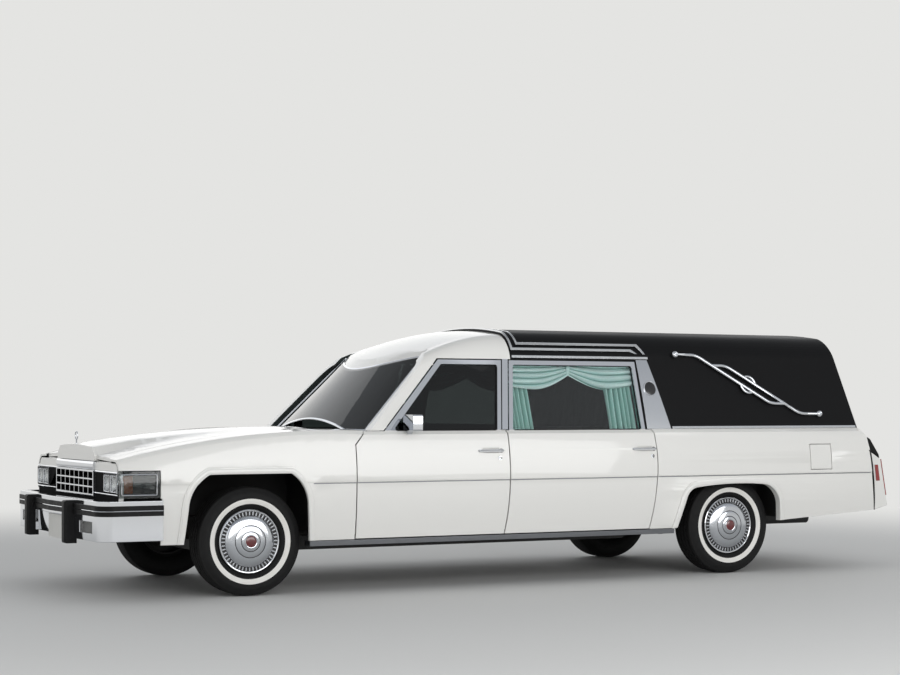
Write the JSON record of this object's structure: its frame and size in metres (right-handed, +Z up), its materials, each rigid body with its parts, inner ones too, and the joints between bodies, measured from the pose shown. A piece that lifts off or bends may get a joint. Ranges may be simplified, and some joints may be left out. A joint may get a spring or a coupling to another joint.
{
  "type": "hearse",
  "caption": "Landau-style hearse with padded black roof, S-shaped quarter bars and swag drapes; doors, hood and rear door open, front wheels steer and all wheels roll.",
  "frame": {"origin": "on the ground under the middle of the overall length and width", "axes": "+X forward, +Y to the left side of the car, +Z up"},
  "size_m": [6.2, 2.17, 1.7609],
  "materials": {
    "white_paint": "gloss white paint",
    "vinyl": "padded grained black vinyl",
    "chrome": "bright plating",
    "brushed_steel": "brushed stainless sheet",
    "glass": "clear tinted glass",
    "lamp_glass": "clear lamp lens",
    "lamp_red": "red lamp lens",
    "tyre": "black tyre with a white band",
    "rubber": "black rubber",
    "plate": "plain white plate",
    "chassis_black": "satin black chassis paint",
    "cast_iron": "dark cast iron",
    "trim_plastic": "dark moulded trim",
    "seat_cloth": "mint cloth",
    "deck_wood": "varnished dark wood",
    "drape_cloth": "pleated mint velour"
  },
  "bodies": {
    "body": {"blank_plates": "plate", "bright_mouldings": "chrome", "bumper_rubber": "rubber", "cab_shell": "white_paint", "casket_deck": "deck_wood", "chassis_frame": "chassis_black", "dashboard": "trim_plastic", "engine_and_shaft": "cast_iron", "exhaust": "brushed_steel", "floor_pan": "chassis_black", "front_bumper": "chrome", "front_fenders": "white_paint", "front_lamps": "lamp_glass", "front_seat": "seat_cloth", "front_suspension": "chassis_black", "fuel_tank": "chassis_black", "grille": "chrome", "lamp_bezels": "chrome", "landau_bars": "chrome", "nose_panel": "white_paint", "pillar_panels": "brushed_steel", "quarters": "white_paint", "rear_axle": "chassis_black", "rear_bumper": "chrome", "sills": "brushed_steel", "tail_fins": "white_paint", "tail_lamps": "lamp_red", "vinyl_roof": "vinyl", "windscreen": "glass"},
    "door_fl": {"door_front_left": "white_paint", "glass_front_left": "glass", "door_mirror_left": "chrome"},
    "door_fr": {"door_front_right": "white_paint", "glass_front_right": "glass", "door_mirror_right": "chrome"},
    "door_rl": {"door_rear_left": "white_paint", "glass_rear_left": "glass", "drape_left": "drape_cloth"},
    "door_rr": {"door_rear_right": "white_paint", "glass_rear_right": "glass", "drape_right": "drape_cloth"},
    "tailgate": {"rear_door": "white_paint", "rear_door_glass": "glass"},
    "hood_lid": {"hood": "white_paint", "hood_ornament": "chrome"},
    "filler_lid": {"fuel_door": "white_paint"},
    "steering": {"steering_wheel": "trim_plastic"},
    "knuckle_l": {"knuckle_left": "cast_iron"},
    "knuckle_r": {"knuckle_right": "cast_iron"},
    "road_wheel_front_left": {"tyre_front_left": "tyre", "wheel_front_left": "chrome"},
    "road_wheel_front_right": {"tyre_front_right": "tyre", "wheel_front_right": "chrome"},
    "road_wheel_rear_left": {"tyre_rear_left": "tyre", "wheel_rear_left": "chrome"},
    "road_wheel_rear_right": {"tyre_rear_right": "tyre", "wheel_rear_right": "chrome"}
  },
  "joints": [
    {"name": "steer_left", "type": "hinge", "parent": "body", "child": "knuckle_l", "pos_m": [2.02, 0.728, 0.345], "axis": [0, 0, 1], "range_deg": [-33, 33]},
    {"name": "steer_right", "type": "hinge", "parent": "body", "child": "knuckle_r", "pos_m": [2.02, -0.728, 0.345], "axis": [0, 0, 1], "range_deg": [-33, 33]},
    {"name": "steering_turn", "type": "hinge", "parent": "body", "child": "steering", "pos_m": [0.73, 0.39, 0.95], "axis": [-0.8829, 0, 0.4695], "range_deg": [-500, 500]},
    {"name": "spin_front_left", "type": "hinge", "parent": "knuckle_l", "child": "road_wheel_front_left", "pos_m": [2.02, 0.795, 0.345], "axis": [0, 1, 0], "continuous": true},
    {"name": "spin_front_right", "type": "hinge", "parent": "knuckle_r", "child": "road_wheel_front_right", "pos_m": [2.02, -0.795, 0.345], "axis": [0, 1, 0], "continuous": true},
    {"name": "spin_rear_left", "type": "hinge", "parent": "body", "child": "road_wheel_rear_left", "pos_m": [-1.65, 0.795, 0.345], "axis": [0, 1, 0], "continuous": true},
    {"name": "spin_rear_right", "type": "hinge", "parent": "body", "child": "road_wheel_rear_right", "pos_m": [-1.65, -0.795, 0.345], "axis": [0, 1, 0], "continuous": true},
    {"name": "door_front_left_swing", "type": "hinge", "parent": "body", "child": "door_fl", "pos_m": [1.33, 1.003, 0.7], "axis": [0, 0, -1], "range_deg": [0, 65]},
    {"name": "door_front_right_swing", "type": "hinge", "parent": "body", "child": "door_fr", "pos_m": [1.33, -1.003, 0.7], "axis": [0, 0, 1], "range_deg": [0, 65]},
    {"name": "door_rear_left_swing", "type": "hinge", "parent": "body", "child": "door_rl", "pos_m": [0.204, 1.003, 0.7], "axis": [0, 0, -1], "range_deg": [0, 65]},
    {"name": "door_rear_right_swing", "type": "hinge", "parent": "body", "child": "door_rr", "pos_m": [0.204, -1.003, 0.7], "axis": [0, 0, 1], "range_deg": [0, 65]},
    {"name": "rear_door_swing", "type": "hinge", "parent": "body", "child": "tailgate", "pos_m": [-2.886, 0.7, 0.8], "axis": [0, 0, -1], "range_deg": [0, 100]},
    {"name": "hood_lift", "type": "hinge", "parent": "body", "child": "hood_lid", "pos_m": [1.418, 0, 1.066], "axis": [0, -1, 0], "range_deg": [0, 50]},
    {"name": "filler_swing", "type": "hinge", "parent": "body", "child": "filler_lid", "pos_m": [-2.3025, 1.003, 0.83], "axis": [0, 0, -1], "range_deg": [0, 90]}
  ],
  "couplings": [
    {"joint": "steer_right", "follows": "steer_left", "ratio": 1},
    {"joint": "steering_turn", "follows": "steer_left", "ratio": 15}
  ]
}
